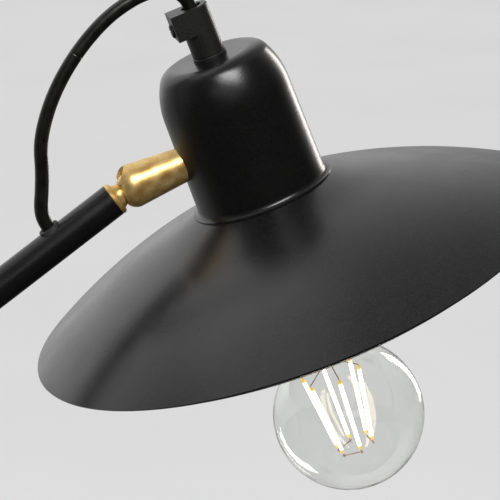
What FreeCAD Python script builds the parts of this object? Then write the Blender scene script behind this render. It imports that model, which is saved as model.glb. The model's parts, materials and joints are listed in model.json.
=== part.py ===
import FreeCAD, Part
import Sketcher
import math
import os

# Adjustable arm floor lamp.  Millimetres, +Z up, +X from the pole towards the lamp head.
# The origin is on the floor under the centre of the round foot.  At rest the arm rises
# from the pole and the lamp head hangs from the ball swivel at its end, and the axes of
# the pole, the arm and the head all lie in the plane y = 0.

Vector = FreeCAD.Vector

DIMENSIONS = [
    ("arm_angle", 36.0, "elevation of the arm at rest, degrees"),
    ("head_angle", 20.8, "lean of the head's axis from the vertical at rest, degrees"),
    ("arm_lowest", -20.0, "lowest elevation of the arm, degrees"),
    ("arm_highest", 76.0, "highest elevation of the arm, degrees"),
    ("pivot_height", 1180.0, "tilt axis of the arm above the floor"),
    ("arm_reach", 430.0, "tilt axis to the centre of the swivel ball"),
    ("play", 0.05, "gap between turned pieces that fit in each other"),
    ("run_gap", 0.15, "gap between pieces that move on each other"),
    ("foot_radius", 140.0, "outside of the foot's cover"),
    ("foot_height", 19.8, "top of the foot above the floor"),
    ("foot_round", 4.0, "rounding of the foot's top edge"),
    ("cover_sheet", 1.2, "sheet of the foot's cover"),
    ("pad_height", 3.0, "rubber pad under the foot"),
    ("inlet_height", 9.5, "cable bush above the floor"),
    ("inlet_bore", 4.0, "radius of the cable bush's bore"),
    ("thread_radius", 5.0, "outside of the M10 lamp thread"),
    ("thread_bore", 4.0, "bore of the M10 threaded tube"),
    ("nut_flats", 14.0, "across the flats of an M10 lamp nut"),
    ("nut_height", 3.5, "thickness of an M10 lamp nut"),
    ("pole_radius", 11.0, "outside of the pole"),
    ("pole_wall", 1.5, "wall of the pole"),
    ("pole_split", 580.0, "joint between the two pole sections above the floor"),
    ("pole_drop", 30.0, "top of the pole below the tilt axis"),
    ("foot_plug", 30.0, "plug in the foot of the pole"),
    ("bush_length", 40.0, "bush in the top of the pole"),
    ("bush_flange", 1.5, "flange of that bush"),
    ("spigot_radius", 7.0, "yoke's spigot in the bush"),
    ("washer_sheet", 0.8, "friction washers beside the drum"),
    ("drum_radius", 16.0, "drum at the foot of the arm"),
    ("drum_width", 18.0, "width of that drum"),
    ("cheek", 4.0, "thickness of the yoke's cheeks"),
    ("bolt_radius", 4.0, "tilt bolt"),
    ("tube_radius", 8.65, "outside of the arm's tube"),
    ("tube_wall", 1.5, "wall of the arm's tube"),
    ("tube_start", 30.0, "tilt axis to the start of the tube"),
    ("tube_setback", 11.2, "end of the tube to the centre of the ball"),
    ("exit_setback", 34.3, "cord's exit to the end of the tube"),
    ("cord_radius", 3.55, "three-core lamp cord"),
    ("ball_radius", 7.6, "swivel ball"),
    ("neck_radius", 5.7, "neck of the ball's stem"),
    ("liner_wall", 0.5, "friction liner round the ball"),
    ("barrel_radius", 11.3, "brass barrel at the ball"),
    ("barrel_end", 9.1, "brass barrel at the cup"),
    ("plug_length", 26.6, "centre of the ball to the end of the barrel's plug"),
    ("cope_gap", 0.05, "coped end of the barrel to the cup"),
    ("barrel_round", 7.5, "rounding at the barrel's mouth"),
    ("barrel_mouth", 4.7, "barrel's mouth beyond the centre of the ball"),
    ("mouth_radius", 7.5, "bore of the barrel's mouth, which holds the ball in"),
    ("ball_offset", 61.4, "centre of the ball to the head's axis"),
    ("ball_rise", 29.9, "barrel's axis above the seam between cup and shade"),
    ("cup_radius", 37.2, "cup's lip at the seam"),
    ("cup_lip", 0.8, "edge of that lip"),
    ("cup_side", 34.3, "foot of the cup's side, above the lip"),
    ("cup_taper", 0.94, "taper of the side, degrees"),
    ("cup_bend", 41.3, "radius of the side's upper curve"),
    ("cup_break", 28.3, "slope where that curve meets the shoulder, degrees"),
    ("cup_round", 8.6, "rounding of the shoulder"),
    ("cup_height", 76.2, "top of the cup above its seam"),
    ("cup_sheet", 1.2, "sheet of the cup"),
    ("shade_sheet", 1.0, "sheet of the upper shade"),
    ("shade_hole", 30.0, "hole in the middle of the upper shade"),
    ("slope_top", 23.2, "slope of the upper shade at the cup, degrees"),
    ("slope_waist", 17.5, "slope where its two curves meet, degrees"),
    ("slope_rim", 31.8, "slope at its rim, degrees"),
    ("bend_top", 274.0, "radius of its hollow curve"),
    ("bend_rim", 350.0, "radius of its crowned curve"),
    ("under_bend", 330.0, "spherical radius of the lower shade"),
    ("under_radius", 140.0, "outside of the lower shade"),
    ("under_sheet", 0.8, "sheet of the lower shade"),
    ("under_drop", 1.6, "lower shade's rim below the upper shade's rim"),
    ("under_hole", 20.6, "hole in the middle of the lower shade"),
    ("collar_radius", 8.7, "collar under the cord grip"),
    ("collar_height", 1.6, "height of that collar"),
    ("grip_radius", 8.3, "cord grip"),
    ("grip_step", 14.0, "clamp block's underside above the cup"),
    ("grip_height", 27.3, "top of the cord grip above the cup"),
    ("grip_block", 12.6, "clamp block's face from the grip's axis"),
    ("globe_radius", 40.0, "bulb"),
    ("globe_drop", 131.8, "centre of the bulb below the seam"),
    ("globe_glass", 0.7, "wall of the bulb"),
    ("bulb_neck", 13.9, "neck of the bulb"),
    ("neck_round", 13.8, "hollow rounding between neck and globe"),
    ("cap_radius", 13.2, "screw cap of the bulb"),
    ("cap_drop", 78.5, "open end of the screw cap below the seam"),
    ("holder_radius", 20.0, "lampholder"),
    ("filament_radius", 1.1, "LED filament"),
    ("filament_twist", 28.0, "first filament round the bulb's axis, degrees"),
]

ROTATION_Y = "vector(0; 1; 0)"


class Size:
    """A length or an angle, known both as a spreadsheet expression and as a number."""

    def __init__(self, text, value):
        self.text = text
        self.value = value

    def __add__(self, other):
        other = size(other)
        return Size(f"({self.text} + {other.text})", self.value + other.value)

    def __sub__(self, other):
        other = size(other)
        return Size(f"({self.text} - {other.text})", self.value - other.value)

    def __mul__(self, other):
        other = size(other)
        return Size(f"({self.text} * {other.text})", self.value * other.value)

    def __truediv__(self, other):
        other = size(other)
        return Size(f"({self.text} / {other.text})", self.value / other.value)

    def __neg__(self):
        return Size(f"(0 - {self.text})", -self.value)

    def __radd__(self, other):
        return size(other) + self

    def __rsub__(self, other):
        return size(other) - self

    def __rmul__(self, other):
        return size(other) * self


def size(given):
    """The given Size, or a plain number as a Size."""
    return given if isinstance(given, Size) else Size(repr(float(given)), float(given))


def sine(angle):
    return Size(f"sin({angle.text})", math.sin(math.radians(angle.value)))


def cosine(angle):
    return Size(f"cos({angle.text})", math.cos(math.radians(angle.value)))


def tangent(angle):
    return Size(f"tan({angle.text})", math.tan(math.radians(angle.value)))


def root(given):
    return Size(f"sqrt({given.text})", math.sqrt(given.value))


def leg(hypotenuse, other):
    """The second short side of a right-angled triangle."""
    return root(hypotenuse * hypotenuse - other * other)


class Sheet:
    """The spreadsheet's cells by name, as Sizes."""

    def __init__(self, document):
        self.cells = document.addObject("Spreadsheet::Sheet", "Sizes")
        for row, (alias, value, meaning) in enumerate(DIMENSIONS, start=1):
            self.cells.set(f"A{row}", meaning)
            self.cells.set(f"B{row}", str(value))
            self.cells.setAlias(f"B{row}", alias)
        document.recompute()

    def __getattr__(self, alias):
        return Size(f"Sizes.{alias}", float(getattr(self.cells, alias)))


doc = FreeCAD.newDocument("adjustable_arm_floor_lamp")
d = Sheet(doc)
nodes = []


# ---------------------------------------------------------------- frames

def frame_text(base, turns):
    """A placement expression: a base point and turns about the Y axis, in degrees."""
    point = f"vector({base[0].text}; {base[1].text}; {base[2].text})"
    return f"placement({point}; rotation({ROTATION_Y}; {turns.text}))"


def point_in(base, turns, x, z):
    """The point (x, 0, z) of a frame turned about Y, in the part's frame."""
    east = base[0] + x * cosine(turns) + z * sine(turns)
    up = base[2] + z * cosine(turns) - x * sine(turns)
    return (east, size(0), up)


ORIGIN = (size(0), size(0), size(0))
PIVOT = (size(0), size(0), d.pivot_height)
ARM_TURN = 90 - d.arm_angle
BARREL_TURN = 90 - d.head_angle
HEAD_TURN = -d.head_angle
BALL = point_in(PIVOT, ARM_TURN, size(0), d.arm_reach)
SEAM = point_in(BALL, HEAD_TURN, d.ball_offset, -d.ball_rise)

STAND_FRAME = frame_text(ORIGIN, size(0))
PIVOT_FRAME = frame_text(PIVOT, size(0))
ARM_FRAME = frame_text(PIVOT, ARM_TURN)
STEM_FRAME = frame_text(BALL, ARM_TURN)
BARREL_FRAME = frame_text(BALL, BARREL_TURN)
HEAD_FRAME = frame_text(SEAM, HEAD_TURN)


# ---------------------------------------------------------------- building blocks

def node(obj, label, frame):
    """Names a finished sub-part, puts it in its frame and lists it for export."""
    obj.Label = label
    obj.setExpression("Placement", frame)
    nodes.append(obj)
    return obj


def arc_between(start, end, radius, left):
    """The short arc from start to end, turning left or right, as the sketcher keeps it."""
    chord = end - start
    height = math.sqrt(max(radius * radius - chord.Length ** 2 / 4, 0))
    side = Vector(-chord.y, chord.x, 0).normalize()
    centre = (start + end) / 2 + side * (height if left else -height)
    first, last = (start, end) if left else (end, start)
    begin = math.atan2(first.y - centre.y, first.x - centre.x)
    finish = math.atan2(last.y - centre.y, last.x - centre.x)
    return Part.ArcOfCircle(Part.Circle(centre, Vector(0, 0, 1), radius), begin, finish)


def profile(body, plane, points, arcs):
    """A closed sketch through the points.  arcs gives the radius of the arc that starts
    at a point, by the point's number: positive where it turns left, negative right."""
    sketch = body.newObject("Sketcher::SketchObject", body.Name + "_profile")
    origin_plane = [f for f in body.Origin.OriginFeatures if f.Role == plane][0]
    sketch.AttachmentSupport = [(origin_plane, "")]
    sketch.MapMode = "FlatFace"
    count = len(points)
    points = [(size(x), size(y)) for x, y in points]
    places = [Vector(x.value, y.value, 0) for x, y in points]
    ends = []
    for i in range(count):
        start, end = places[i], places[(i + 1) % count]
        if i in arcs:
            radius = size(arcs[i])
            left = radius.value > 0
            sketch.addGeometry(arc_between(start, end, abs(radius.value), left))
            ends.append((1, 2) if left else (2, 1))
        else:
            sketch.addGeometry(Part.LineSegment(start, end))
            ends.append((1, 2))
    for i in range(count):
        after = (i + 1) % count
        joint = Sketcher.Constraint("Coincident", i, ends[i][1], after, ends[after][0])
        sketch.addConstraint(joint)
    for i, (x, y) in enumerate(points):
        place_point(sketch, i, ends[i][0], x, y)
    for i, radius in arcs.items():
        radius = size(radius)
        positive = radius if radius.value > 0 else -radius
        bind(sketch, Sketcher.Constraint("Radius", i, positive.value), positive)
    return sketch


def place_point(sketch, line, end, x, y):
    """Fixes the end of a line in a sketch at (x, y), or on an axis where that is zero."""
    if x.text == "0.0":
        sketch.addConstraint(Sketcher.Constraint("PointOnObject", line, end, -2))
    else:
        bind(sketch, Sketcher.Constraint("DistanceX", -1, 1, line, end, x.value), x)
    if y.text == "0.0":
        sketch.addConstraint(Sketcher.Constraint("PointOnObject", line, end, -1))
    else:
        bind(sketch, Sketcher.Constraint("DistanceY", -1, 1, line, end, y.value), y)


def bind(sketch, constraint, value):
    number = sketch.addConstraint(constraint)
    sketch.setExpression(f"Constraints[{number}]", value.text)


def turned(name, points, arcs=None):
    """A body turned about its Z axis from an outline of (radius, height) points."""
    body = doc.addObject("PartDesign::Body", name + "_body")
    sketch = profile(body, "XZ_Plane", points, arcs or {})
    revolution = body.newObject("PartDesign::Revolution", name + "_turning")
    revolution.Profile = sketch
    revolution.ReferenceAxis = (sketch, ["V_Axis"])
    revolution.Angle = 360
    body.Tip = revolution
    return body


def ring(name, inner, outer, low, high):
    """A turned ring, or a disc where inner is zero."""
    return turned(name, [(inner, low), (outer, low), (outer, high), (inner, high)])


def rod(name, radius, start, length, axis="z"):
    """A plain cylinder along an axis of its frame, from the point start."""
    cylinder = doc.addObject("Part::Cylinder", name)
    cylinder.setExpression("Radius", size(radius).text)
    cylinder.setExpression("Height", size(length).text)
    turns = {
        "z": "rotation(vector(0; 0; 1); 0)",
        "x": f"rotation({ROTATION_Y}; 90)",
        "y": "rotation(vector(1; 0; 0); 0 - 90)",
    }
    point = "; ".join(size(value).text for value in start)
    cylinder.setExpression("Placement", f"placement(vector({point}); {turns[axis]})")
    return cylinder


def block(name, corner, extent, turn=0):
    """A box from its lowest corner, turned about that corner's Y axis in degrees."""
    box = doc.addObject("Part::Box", name)
    for side, value in zip(("Length", "Width", "Height"), extent):
        box.setExpression(side, size(value).text)
    point = "; ".join(size(value).text for value in corner)
    turned_by = f"rotation({ROTATION_Y}; {size(turn).text})"
    box.setExpression("Placement", f"placement(vector({point}); {turned_by})")
    return box


def cut(name, base, *tools):
    """base less each of the tools."""
    for number, tool in enumerate(tools):
        made = doc.addObject("Part::Cut", f"{name}_less_{number}")
        made.Base = base
        made.Tool = tool
        made.Refine = True
        base = made
    return base


def joined(name, *pieces):
    made = doc.addObject("Part::MultiFuse", name)
    made.Shapes = list(pieces)
    made.Refine = True
    return made


def common(name, base, tool):
    made = doc.addObject("Part::Common", name)
    made.Base = base
    made.Tool = tool
    return made


def lamp_nut(name, low):
    """An M10 lamp nut whose lower face is at height low."""
    prism = doc.addObject("Part::Prism", name + "_hexagon")
    prism.Polygon = 6
    prism.setExpression("Circumradius", (d.nut_flats / root(size(3))).text)
    prism.setExpression("Height", d.nut_height.text)
    prism.setExpression("Placement", frame_text((size(0), size(0), size(low)), size(0)))
    hole = rod(name + "_hole", d.thread_radius + d.play, (0, 0, low - 1), d.nut_height + 2)
    return cut(name, prism, hole)


# ---------------------------------------------------------------- foot

def make_foot():
    """A cast weight under a sheet cover, on a rubber pad, with the cable's inlet."""
    inside = d.foot_radius - d.cover_sheet
    under_top = d.foot_height - d.cover_sheet
    corner = d.foot_height - d.foot_round
    hole = d.thread_radius + d.play

    pad_inset = 4
    pad = ring("base_pad", 0, d.foot_radius - pad_inset, 0, d.pad_height)
    node(pad, "base_pad", STAND_FRAME)

    weight_radius = inside - 0.2
    recess_radius = 20
    recess_top = d.pad_height + 6
    bevel_across, bevel_down = 3.4, 1
    weight = turned("base_weight", [
        (hole, recess_top), (recess_radius, recess_top), (recess_radius, d.pad_height),
        (weight_radius, d.pad_height), (weight_radius, corner - bevel_down),
        (weight_radius - bevel_across, under_top), (hole, under_top),
    ])
    channel_width = 2 * d.inlet_bore + 4.6
    channel_end = 12
    channel = block(
        "base_channel",
        (-d.foot_radius, -channel_width / 2, d.pad_height - 1),
        (d.foot_radius - channel_end, channel_width, d.inlet_height + 4.4),
    )
    node(cut("base_weight", weight, channel), "base_weight", STAND_FRAME)

    skirt_low = 2
    round_start = d.foot_radius - d.foot_round
    cover = turned("base_cover", [
        (inside, skirt_low), (d.foot_radius, skirt_low), (d.foot_radius, corner),
        (round_start, d.foot_height), (hole, d.foot_height), (hole, under_top),
        (round_start, under_top), (inside, corner),
    ], {2: d.foot_round, 6: -(d.foot_round - d.cover_sheet)})
    bush_wall = 2
    hole_start = -d.foot_radius - 5
    cable_hole = rod(
        "base_cover_hole", d.inlet_bore + bush_wall + d.play,
        (hole_start, 0, d.inlet_height), 20, axis="x",
    )
    node(cut("base_cover", cover, cable_hole), "base_cover", STAND_FRAME)

    bush_depth, flange_height, flange_edge = 12, 2, 1.2
    bush_outside = d.inlet_bore + bush_wall
    flange_radius = bush_outside + 1.6
    bush = turned("cable_bush", [
        (d.inlet_bore, -bush_depth), (bush_outside, -bush_depth), (bush_outside, 0),
        (flange_radius, 0), (flange_radius, flange_edge), (flange_radius - 0.8, flange_height),
        (d.inlet_bore, flange_height),
    ])
    node(bush, "cable_bush", frame_text((-d.foot_radius, size(0), d.inlet_height), size(-90)))

    washer_low = recess_top - 1.5
    washer_radius = 16
    nut_low = washer_low - d.nut_height
    nipple_top = d.foot_height + d.foot_plug - 4
    nipple = ring("base_nipple", d.thread_bore, d.thread_radius, nut_low, nipple_top)
    node(nipple, "base_nipple", STAND_FRAME)
    washer = ring("base_washer", hole, washer_radius, washer_low, recess_top)
    node(washer, "base_washer", STAND_FRAME)
    node(lamp_nut("base_nut", nut_low), "base_nut", STAND_FRAME)

    sleeve = d.pole_radius + d.play
    flange, flange_rise, hollow = 8, 3, 5
    collar_top = d.foot_height + flange_rise + hollow
    collar = turned("foot_collar", [
        (sleeve, d.foot_height), (sleeve + flange, d.foot_height),
        (sleeve + flange, d.foot_height + flange_rise),
        (sleeve + flange - hollow, collar_top), (sleeve, collar_top),
    ], {2: hollow})
    node(collar, "foot_collar", STAND_FRAME)


def make_pole():
    """Two tubes over a joiner, with a plug at the foot and a bush at the top."""
    inside = d.pole_radius - d.pole_wall
    plug = inside - d.play
    hole = d.thread_radius + d.play
    pole_top = d.pivot_height - d.pole_drop
    plug_top = d.foot_height + d.foot_plug
    node(ring("foot_plug", hole, plug, d.foot_height, plug_top), "foot_plug", STAND_FRAME)
    lower = ring("pole_lower", inside, d.pole_radius, d.foot_height, d.pole_split)
    node(lower, "pole_lower", STAND_FRAME)
    overlap = 30
    joiner_bore = d.thread_bore + 2
    joiner = ring("pole_joiner", joiner_bore, plug, d.pole_split - overlap, d.pole_split + overlap)
    node(joiner, "pole_joiner", STAND_FRAME)
    upper = ring("pole_upper", inside, d.pole_radius, d.pole_split, pole_top)
    node(upper, "pole_upper", STAND_FRAME)
    bush_bore = d.spigot_radius + 0.1
    bush_low = pole_top - d.bush_length
    bush_top = pole_top + d.bush_flange
    bush = turned("pole_bush", [
        (bush_bore, bush_low), (plug, bush_low), (plug, pole_top),
        (d.pole_radius, pole_top), (d.pole_radius, bush_top), (bush_bore, bush_top),
    ])
    node(bush, "pole_bush", STAND_FRAME)


# ---------------------------------------------------------------- yoke and arm

def make_yoke():
    """The fork that turns in the pole's bush, and the clip that holds it there."""
    half_gap = d.drum_width / 2 + d.washer_sheet + 2 * d.play
    half_width = half_gap + d.cheek
    cheek_radius = d.drum_radius + 1
    shoulder = -d.pole_drop + d.bush_flange + d.run_gap
    bar_low = shoulder + 4
    spigot_end = -d.pole_drop - d.bush_length - 4
    beyond = cheek_radius + 1

    stalk = turned("yoke_stalk", [
        (0, spigot_end), (d.spigot_radius, spigot_end), (d.spigot_radius, shoulder),
        (d.pole_radius, shoulder), (cheek_radius - 3, bar_low), (0, bar_low),
    ])
    bar = block(
        "yoke_bar", (-cheek_radius, -half_width, bar_low),
        (2 * cheek_radius, 2 * half_width, -bar_low),
    )
    crown = rod("yoke_crown", cheek_radius, (0, -half_width, 0), 2 * half_width, axis="y")
    drum_room = d.drum_radius + 0.8
    hollow = rod("yoke_hollow", drum_room, (0, -half_gap, 0), 2 * half_gap, axis="y")
    gap = block("yoke_gap", (-beyond, -half_gap, 0), (2 * beyond, 2 * half_gap, beyond))
    side_depth = 0.62 * d.drum_radius
    sides = block(
        "yoke_sides", (-beyond, -half_gap, -side_depth),
        (2 * beyond, 2 * half_gap, d.drum_radius),
    )
    # The gap is deeper in front, under the arm at its lowest.
    dip = -d.arm_lowest
    arm_room = d.tube_radius + 2.3
    relief = block(
        "yoke_relief", (-arm_room * sine(dip), -half_gap, -arm_room * cosine(dip)),
        (2 * cheek_radius, 2 * half_gap, 2 * arm_room), turn=dip,
    )
    bore = d.thread_bore + 0.5
    bore_start = spigot_end - 6
    cord_bore = rod("yoke_bore", bore, (0, 0, bore_start), 60)
    bolt_hole = rod(
        "yoke_bolt_hole", d.bolt_radius + d.play, (0, -half_width - 1, 0),
        2 * half_width + 2, axis="y",
    )
    fork = joined("yoke_blank", stalk, bar, crown)
    fork = cut("yoke", fork, hollow, gap, sides, relief, cord_bore, bolt_hole)
    node(fork, "yoke", PIVOT_FRAME)

    clip_radius, clip_height = 9.2, 1.5
    clip_top = -d.pole_drop - d.bush_length - d.run_gap
    clip = ring(
        "yoke_clip", d.spigot_radius + d.play, clip_radius, clip_top - clip_height, clip_top
    )
    node(clip, "yoke_clip", PIVOT_FRAME)
    make_bolt_and_knob(half_width)


def make_bolt_and_knob(half_width):
    """The tilt bolt and what sits on it, turned about an axis that points along -Y."""
    bolt_frame = f"placement(vector(0; 0; {PIVOT[2].text}); rotation(vector(1; 0; 0); 90))"
    head_radius, head_height, head_round = 7, 4.5, 1.8
    head_side = -half_width - (head_height - 1)
    thread_end = half_width + 14
    bolt = turned("tilt_bolt", [
        (0, -half_width - head_height), (head_radius - 1.5, -half_width - head_height),
        (head_radius, head_side), (head_radius, -half_width), (d.bolt_radius, -half_width),
        (d.bolt_radius, thread_end), (0, thread_end),
    ], {1: head_round})
    node(bolt, "tilt_bolt", bolt_frame)

    washer_radius, washer_height = 10, 1.2
    loose = d.bolt_radius + d.run_gap
    washer = ring("knob_washer", loose, washer_radius, half_width, half_width + washer_height)
    node(washer, "knob_washer", bolt_frame)

    low = half_width + washer_height + d.run_gap
    bore_radius = d.bolt_radius + d.play
    bore_depth = 13.5
    foot_radius, foot_height = 9, 3
    knob_radius, knob_height, bevel = 12.5, 17.5, 1.5
    knob = turned("lock_knob", [
        (0, low + bore_depth), (bore_radius, low + bore_depth), (bore_radius, low),
        (foot_radius, low), (foot_radius, low + foot_height),
        (knob_radius, low + foot_height + 1), (knob_radius, low + knob_height - bevel),
        (knob_radius - bevel, low + knob_height), (0, low + knob_height),
    ])
    groove_count, groove_radius, groove_circle = 24, 0.9, knob_radius + 0.4
    grooves = []
    for number in range(groove_count):
        angle = 2 * math.pi * number / groove_count
        start = (groove_circle * math.cos(angle), groove_circle * math.sin(angle), low + foot_height)
        grooves.append(rod(f"knob_groove_{number}", groove_radius, start, knob_height))
    knob = cut("lock_knob", knob, joined("knob_grooves", *grooves))
    node(knob, "lock_knob", bolt_frame)

    half_drum = d.drum_width / 2
    for side, start in (("front", half_drum + d.play),
                        ("back", -half_drum - d.play - d.washer_sheet)):
        name = f"friction_washer_{side}"
        disc = ring(name, loose, d.drum_radius - 1.5, start, start + d.washer_sheet)
        node(disc, name, bolt_frame)


def make_drum():
    """The hollow drum that turns in the yoke, with the boss that the tube stands on."""
    bore = d.thread_bore + 0.5
    inside = d.tube_radius - d.tube_wall - d.play
    half_drum = d.drum_width / 2
    skin = size(3)

    shell = rod("drum_shell", d.drum_radius, (0, -half_drum, 0), d.drum_width, axis="y")
    between_cheeks = half_drum - 0.2
    clear_of_cheeks = d.drum_radius + 2.5
    boss_radius = d.tube_radius + 1.5
    spigot_end = d.tube_start + 22
    boss = turned("drum_boss", [
        (0, 0), (between_cheeks, 0), (between_cheeks, clear_of_cheeks),
        (boss_radius, clear_of_cheeks + 2.5), (boss_radius, d.tube_start - 4),
        (d.tube_radius, d.tube_start), (inside, d.tube_start), (inside, spigot_end),
        (0, spigot_end),
    ])
    cavity = rod(
        "drum_cavity", d.drum_radius - skin, (0, skin - half_drum, 0),
        d.drum_width - 2 * skin, axis="y",
    )
    cord_bore = rod("drum_bore", bore, (0, 0, 0), spigot_end + 8)
    bolt_hole = rod(
        "drum_bolt_hole", d.bolt_radius + d.play, (0, -half_drum - 1, 0),
        d.drum_width + 2, axis="y",
    )
    # The cord's slot runs round the drum's underside, so that the arm can tilt over it.
    slot = doc.addObject("Part::Cylinder", "drum_slot")
    slot.setExpression("Radius", (d.drum_radius + 1).text)
    slot.setExpression("Height", (2 * bore).text)
    slot_margin = size(18)
    slot_start = 90 + d.arm_lowest - slot_margin
    slot_sweep = d.arm_highest - d.arm_lowest + 2 * slot_margin
    slot.setExpression("Angle", slot_sweep.text)
    along_y = "rotation(vector(1; 1; 1); 240)"
    slot_point = f"vector(0; 0 - {bore.text}; 0)"
    from_start = f"rotation({ROTATION_Y}; {slot_start.text})"
    slot.setExpression("Placement", f"placement({slot_point}; {from_start} * {along_y})")
    drum = joined("arm_drum_blank", shell, boss)
    node(cut("arm_drum", drum, cavity, cord_bore, bolt_hole, slot), "arm_drum", ARM_FRAME)


def make_tube():
    """The arm's tube and the grommet in the hole where the cord leaves it."""
    inside = d.tube_radius - d.tube_wall
    tube_end = d.arm_reach - d.tube_setback
    exit_place = tube_end - d.exit_setback
    grommet_neck = d.cord_radius + 0.8
    grommet_lip = d.cord_radius + 2
    lip_reach = d.tube_radius + 0.9
    lip_depth, neck_depth = 4, 4.2

    tube = ring("arm_tube", inside, d.tube_radius, d.tube_start, tube_end)
    hole_start = -d.tube_radius - 2
    exit_hole = rod(
        "arm_tube_hole", grommet_neck + 0.1, (hole_start, 0, exit_place), -hole_start, axis="x"
    )
    node(cut("arm_tube", tube, exit_hole), "arm_tube", ARM_FRAME)

    start = (-lip_reach, 0, exit_place)
    lip = rod("grommet_lip", grommet_lip, start, lip_depth, axis="x")
    sleeve = rod("grommet_sleeve", grommet_neck, start, neck_depth, axis="x")
    saddle_half = 15
    saddle = rod(
        "grommet_saddle", d.tube_radius, (0, 0, exit_place - saddle_half), 2 * saddle_half
    )
    bore_start = (-lip_reach - 1, 0, exit_place)
    bore = rod("grommet_bore", d.cord_radius + d.play, bore_start, 2 * lip_depth, axis="x")
    grommet = joined("grommet_blank", cut("grommet_saddled", lip, saddle), sleeve)
    node(cut("cord_grommet", grommet, bore), "cord_grommet", ARM_FRAME)


def make_stem():
    """The stem in the tube's end with its ball, and the split liner round the ball."""
    inside = d.tube_radius - d.tube_wall - d.play
    end = -d.tube_setback
    root_low = end - 18
    bead = d.tube_radius + 0.1
    bead_low, bead_top, cone_low, cone_top = end + 0.5, end + 1.7, end + 2.5, end + 2.9
    neck_meets_ball = -leg(d.ball_radius, d.neck_radius)
    neck_hollow = 6
    stem = turned("swivel_stem", [
        (0, root_low), (inside, root_low), (inside, end), (bead - 0.5, end),
        (bead, bead_low), (bead, bead_top), (bead - 0.8, cone_low),
        (d.neck_radius + 1.1, cone_top), (d.neck_radius, neck_meets_ball),
        (d.ball_radius, 0), (0, d.ball_radius),
    ], {7: -neck_hollow, 8: d.ball_radius, 9: d.ball_radius})
    node(stem, "swivel_stem", STEM_FRAME)

    liner_in = d.ball_radius + d.run_gap
    liner_out = liner_in + d.liner_wall
    low, high = size(0.7), size(7.2)
    liner = turned("ball_liner", [
        (leg(liner_in, low), low), (leg(liner_out, low), low),
        (leg(liner_out, high), high), (leg(liner_in, high), high),
    ], {1: liner_out, 3: -liner_in})
    node(liner, "ball_liner", STEM_FRAME)


def make_arm():
    make_drum()
    make_tube()
    make_stem()


# ---------------------------------------------------------------- swivel barrel

def cup_foot():
    """The foot of the cup's side, at the top of the hollow curve above its lip."""
    return (d.cup_side, d.cup_lip + d.cup_radius - d.cup_side)


def cup_solid(name, inset):
    """The cup's outside as a solid cone, inset by a distance, in the head's frame."""
    low = size(-20)
    high = size(70)
    foot = cup_foot()

    def side(height):
        return foot[0] - inset - (height - foot[1]) * tangent(d.cup_taper)

    return turned(name, [(0, low), (side(low), low), (side(high), high), (0, high)])


def across_head(obj):
    """Puts a piece of the barrel's frame into the head's frame, for a cut or a common."""
    point = f"vector(0 - {d.ball_offset.text}; 0; {d.ball_rise.text})"
    obj.setExpression("Placement", f"placement({point}; rotation({ROTATION_Y}; 90))")
    return obj


def make_barrel():
    """The brass barrel that holds the ball, with the pieces inside it."""
    cavity = d.ball_radius + d.run_gap + d.liner_wall + d.run_gap
    core = cavity - d.play
    low = -d.barrel_mouth
    round_height = size(1.4)
    round_centre = d.barrel_radius - d.barrel_round
    lip_outside = round_centre + leg(d.barrel_round, round_height - low)
    lip_edge = 0.25
    coped = d.plug_length + 8
    barrel = turned("swivel_barrel", [
        (lip_outside - lip_edge, low), (lip_outside, low), (d.barrel_radius, round_height),
        (d.barrel_end, d.plug_length), (d.barrel_end, coped), (cavity, coped), (cavity, 0),
        (d.mouth_radius, -leg(cavity, d.mouth_radius)),
    ], {1: d.barrel_round, 6: -cavity})
    # The slot in the mouth's upper side gives the stem's neck room when the head tilts.
    slot_radius = d.neck_radius + 0.4
    slot_start, slot_end = -20, -3
    slot = rod(
        "barrel_slot", slot_radius, (slot_start, 0, 0.1 - slot_radius),
        slot_end - slot_start, axis="x",
    )
    slotted = across_head(cut("swivel_barrel_slotted", barrel, slot))
    around_cup = cup_solid("barrel_cope", -d.cope_gap)
    node(cut("swivel_barrel", slotted, around_cup), "swivel_barrel", HEAD_FRAME)

    seat_low, seat_top, seat_bore = size(3.4), size(9.5), size(3)
    thrust_cup = turned("thrust_cup", [
        (leg(cavity, seat_low), seat_low), (core, seat_low), (core, seat_top),
        (seat_bore, seat_top), (seat_bore, leg(cavity, seat_bore)),
    ], {4: -cavity})
    node(thrust_cup, "thrust_cup", BARREL_FRAME)
    plug_low = seat_top + 1.8
    spring_sheet, spring_bore, spring_radius = 0.7, 4.2, core - 0.1
    spring = turned("disc_spring", [
        (spring_bore, plug_low - spring_sheet), (spring_radius, seat_top),
        (spring_radius, seat_top + spring_sheet), (spring_bore, plug_low),
    ])
    node(spring, "disc_spring", BARREL_FRAME)
    stud_end = d.plug_length + 10
    plug = turned("barrel_plug", [
        (0, plug_low), (core, plug_low), (core, d.plug_length),
        (d.thread_radius, d.plug_length), (d.thread_radius, stud_end), (0, stud_end),
    ])
    node(plug, "barrel_plug", BARREL_FRAME)

    hole = d.thread_radius + d.play
    disc = across_head(ring("barrel_spacer_blank", hole, core, d.plug_length, coped))
    spacer = cut("barrel_spacer", disc, cup_solid("cup_outside", size(0)))
    node(spacer, "barrel_spacer", HEAD_FRAME)
    wall_inside = d.ball_offset - d.cup_side + d.cup_sheet
    saddle_radius, saddle_inset = 9, 0.12
    nut_face = wall_inside + 4
    inner_disc = across_head(
        ring("saddle_washer_blank", hole, saddle_radius, wall_inside - 3, nut_face)
    )
    cup_inside = cup_solid("cup_inside", d.cup_sheet + saddle_inset)
    saddle = common("saddle_washer", inner_disc, cup_inside)
    node(saddle, "saddle_washer", HEAD_FRAME)
    node(lamp_nut("stud_nut", nut_face), "stud_nut", BARREL_FRAME)


# ---------------------------------------------------------------- cup

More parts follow.
